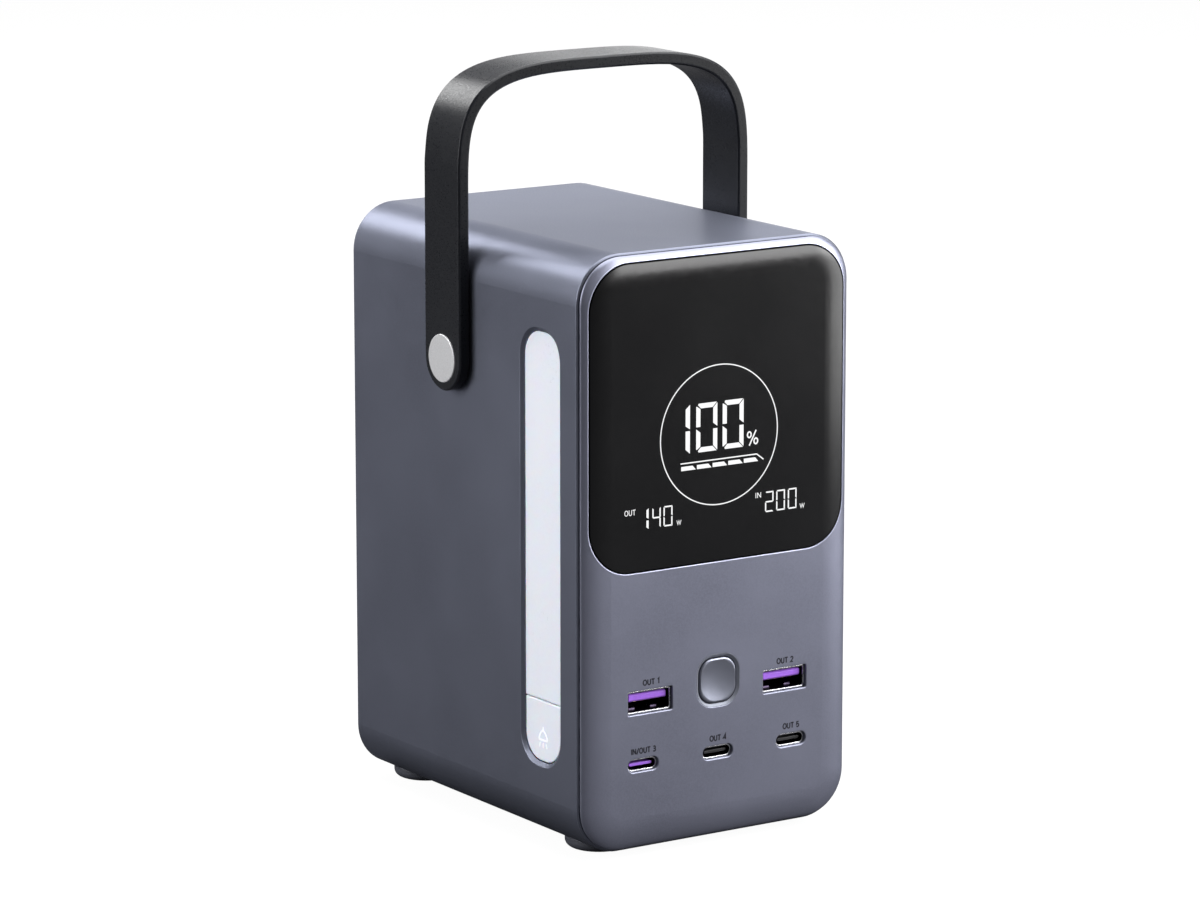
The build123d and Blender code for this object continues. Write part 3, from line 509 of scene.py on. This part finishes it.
# ---- display: a circle around the charge, and the power going out and in below it
CIRCLE_MIDDLE, CIRCLE_RADIUS, CIRCLE_STEPS, CIRCLE_LINE = 28.1, 17.85, 96, 0.28
BIG_BASE, BIG_HEIGHT, BIG_STROKE, BIG_GAP = 24.2, 12.4, 1.25, 0.34
SMALL_BASE, SMALL_STROKE, SMALL_GAP = 6.5, 0.36, 0.12
BIG_ZERO, SMALL_ZERO = (6.4, 0.75, ZERO), (2.7, 0.3, ZERO)      # width, corner, lit segments
WORD_LINE, UNIT_LINE, UNIT_HEIGHT = 0.18, 0.16, 1.1
BAR, BAR_PITCH, BAR_COUNT = [(-11.57, 20.0), (-11.57, 21.05), (-8.1, 21.05), (-7.15, 20.0)], 4.78, 5

circle = [2 * math.pi * i / CIRCLE_STEPS for i in range(CIRCLE_STEPS)]
display = {
    "display_circle": ribbon([(CIRCLE_RADIUS * math.cos(a), CIRCLE_MIDDLE + CIRCLE_RADIUS * math.sin(a))
                              for a in circle], CIRCLE_LINE, closed=True),
    "display_charge": (
        digit_one(-10.26, BIG_BASE, 1.3, BIG_HEIGHT, 1.1)
        + digits(BIG_HEIGHT, BIG_STROKE, BIG_GAP, BIG_BASE, (-7.05, *BIG_ZERO), (1.0, *BIG_ZERO))
    ),
    "display_percent": word("%", 8.4, 24.3, 12.0, 3.7, 0.38),
    "display_rule": ribbon([(-11.77, 21.85), (11.5, 21.85), (13.6, 20.3)], 0.3),
    "display_bars": [polygon for i in range(BAR_COUNT) for polygon in shift([BAR], BAR_PITCH * i, 0)],
    "display_out_word": word("OUT", -28.6, 10.45, -25.3, 1.4, WORD_LINE),
    "display_out_value": (
        digit_one(-22.0, SMALL_BASE, 0.62, 5.2, 0.42)
        + digits(5.2, SMALL_STROKE, SMALL_GAP, SMALL_BASE, (-20.23, 2.5, 0.1, FOUR), (-16.87, *SMALL_ZERO))
    ),
    "display_out_unit": word("W", -12.9, 6.5, -11.5, UNIT_HEIGHT, UNIT_LINE),
    "display_in_word": word("IN", 11.17, 10.5, 12.96, 1.34, WORD_LINE),
    "display_in_value": digits(5.3, SMALL_STROKE, SMALL_GAP, SMALL_BASE, (14.2, 2.6, 0.3, TWO),
                               (17.66, *SMALL_ZERO), (21.27, *SMALL_ZERO)),
    "display_in_unit": word("W", 25.0, 6.4, 26.5, UNIT_HEIGHT, UNIT_LINE),
}
for name, polygons in display.items():
    mark_mesh(name, polygons, on_front, lit_white, "station")

# ---- socket labels
LABEL_HEIGHT, LABEL_LINE = 1.42, 0.36
UPPER_BASE, LOWER_BASE = -33.5, -50.9
for name, text, left, right, base in (
    ("label_out_1", "OUT 1", -22.95, -18.0, UPPER_BASE),
    ("label_out_2", "OUT 2", 18.2, 23.3, UPPER_BASE),
    ("label_in_out_3", "IN/OUT 3", -26.5, -19.05, LOWER_BASE),
    ("label_out_4", "OUT 4", -2.5, 2.55, LOWER_BASE),
    ("label_out_5", "OUT 5", 20.25, 25.3, LOWER_BASE),
):
    polygons = word(text, left, base, right, LABEL_HEIGHT, LABEL_LINE)
    mark_mesh(name, polygons, on_front, panel_ink, "station")

# ---- lamp mark: a small shade on a stem, with rays below it
button_low, button_high = box_of("lamp_button")
button_y = (button_low.y + button_high.y) / 2


def on_lamp(u, v, height):
    """Point on the lamp button's face: u towards the front, v up from its lower end."""
    return (button_low.x - height, button_y - u, button_low.z + v)


ICON_BASE, ICON_LINE, RAY_LINE, RAY_SPLAY = 6.8, 0.3, 0.28, 1.35
SHADE = [(0.0, 2.6), (1.15, 1.75), (1.9, 0.5), (1.75, 0.0), (-1.75, 0.0), (-1.9, 0.5), (-1.15, 1.75)]
lamp_mark = ribbon([(u, v + ICON_BASE) for u, v in SHADE], ICON_LINE, closed=True)
lamp_mark += ribbon([(0.0, ICON_BASE + 2.6), (0.0, ICON_BASE + 3.4)], ICON_LINE)
for start in (-1.3, 0.0, 1.3):
    lamp_mark += ribbon([(start, ICON_BASE - 0.8), (start * RAY_SPLAY, ICON_BASE - 1.9)], RAY_LINE)
mark_mesh("lamp_button_mark", lamp_mark, on_lamp, lamp_mark_painted_glow, "lamp_button")

# ---------------------------------------------------------------- studio

scene = bpy.context.scene
scene.view_settings.view_transform = "Standard"


def area_light(name, location, target, size, power):
    """Softbox at location, turned to target."""
    data = bpy.data.lights.new(name, "AREA")
    data.shape = "RECTANGLE"
    data.size, data.size_y = size
    data.energy = power
    light = bpy.data.objects.new(name, data)
    light.location = location
    light.rotation_euler = (Vector(target) - Vector(location)).to_track_quat("-Z", "Y").to_euler()
    light.visible_camera = False
    scene.collection.objects.link(light)
    return light


def light_reach(light, node_names, state):
    """Limit a light to the named nodes ("INCLUDE") or to everything else ("EXCLUDE")."""
    reach = bpy.data.collections.new(light.name + "_reach")
    for node_name in node_names:
        reach.objects.link(frame["nodes"][node_name])
    for entry in reach.collection_objects:
        entry.light_linking.link_state = state
    light.light_linking.receiver_collection = reach


area_light("top_softbox", (0.35, 0.1, 1.2), (0, 0, 0.1), (2.0, 1.5), 44.0)
area_light("back_left_softbox", (-0.28, 1.14, 0.88), (0, 0, 0.12), (0.7, 0.4), 7.5)
area_light("back_right_softbox", (0.85, 1.05, 0.32), (0, 0, 0.12), (0.8, 0.35), 1.5)
front_light = area_light("front_right_softbox", (0.62, -0.70, 0.52), (0, 0, 0.08), (0.6, 0.7), 11.5)
front_fill = area_light("front_right_fill", (1.55, -1.75, 1.2), (0, 0, 0.08), (2.4, 2.2), 25.0)
area_light("right_softbox", (0.5, -0.35, 0.15), (0.02, 0, 0.05), (0.3, 0.4), 2.0)
area_light("left_softbox", (-1.15, 0.45, 0.5), (0, 0, 0.08), (0.8, 0.9), 15.3)

# the case and the handle get the wide fill, because the small softbox would glare on the case's top
WIDE_LIT = ("main_shell", "handle_strap")
light_reach(front_light, WIDE_LIT, "EXCLUDE")
light_reach(front_fill, WIDE_LIT, "INCLUDE")


def shader(tree, kind, colour, strength=None):
    node = tree.nodes.new(kind)
    node.inputs[0].default_value = (*colour, 1.0)
    if strength is not None:
        node.inputs[1].default_value = strength
    return node


def by_ray(tree, output_kind, unseen, seen):
    """Give camera rays the seen shader and all other rays the unseen one."""
    rays = tree.nodes.new("ShaderNodeLightPath")
    choose = tree.nodes.new("ShaderNodeMixShader")
    tree.links.new(rays.outputs["Is Camera Ray"], choose.inputs[0])
    tree.links.new(unseen.outputs[0], choose.inputs[1])
    tree.links.new(seen.outputs[0], choose.inputs[2])
    tree.links.new(choose.outputs[0], tree.nodes.new(output_kind).inputs[0])


# white backdrop, much dimmer as a light
world = bpy.data.worlds.new("studio")
scene.world = world
world.use_nodes = True
tree = world.node_tree
tree.nodes.clear()
by_ray(tree, "ShaderNodeOutputWorld",
       unseen=shader(tree, "ShaderNodeBackground", (0.93, 0.95, 1.0), 0.13),
       seen=shader(tree, "ShaderNodeBackground", (1, 1, 1), 1.0))

# pale floor, nearly white to the eye with a faint shadow, and darker as a bounce
FLOOR = 6.0
floor_mesh = bpy.data.meshes.new("floor")
floor_corners = [(-FLOOR, -FLOOR, 0), (FLOOR, -FLOOR, 0), (FLOOR, FLOOR, 0), (-FLOOR, FLOOR, 0)]
floor_mesh.from_pydata(floor_corners, [], [(0, 1, 2, 3)])
floor = bpy.data.objects.new("floor", floor_mesh)
scene.collection.objects.link(floor)
pale = bpy.data.materials.new("pale_floor")
pale.use_nodes = True
tree = pale.node_tree
tree.nodes.clear()
seen_floor = tree.nodes.new("ShaderNodeAddShader")
tree.links.new(shader(tree, "ShaderNodeEmission", (1, 1, 1), 0.96).outputs[0], seen_floor.inputs[0])
tree.links.new(shader(tree, "ShaderNodeBsdfDiffuse", (0.06, 0.06, 0.06)).outputs[0], seen_floor.inputs[1])
by_ray(tree, "ShaderNodeOutputMaterial",
       unseen=shader(tree, "ShaderNodeBsdfDiffuse", (0.07, 0.07, 0.074)),
       seen=seen_floor)
floor_mesh.materials.append(pale)

# ---------------------------------------------------------------- camera

CAMERA_PLACE = (-0.7148, -1.0749, 0.3522)
CAMERA_AZIMUTH, CAMERA_ELEVATION = math.radians(-33.64), math.radians(11.34)

camera_data = bpy.data.cameras.new("camera")
camera_data.lens = 152.1
camera_data.sensor_width = 36.0
camera_data.clip_end = 50.0
camera = bpy.data.objects.new("camera", camera_data)
camera.location = CAMERA_PLACE
back = Vector((math.sin(CAMERA_AZIMUTH) * math.cos(CAMERA_ELEVATION),
               -math.cos(CAMERA_AZIMUTH) * math.cos(CAMERA_ELEVATION),
               math.sin(CAMERA_ELEVATION)))
camera.rotation_mode = "QUATERNION"
camera.rotation_quaternion = (-back).to_track_quat("-Z", "Y")
scene.collection.objects.link(camera)
scene.camera = camera
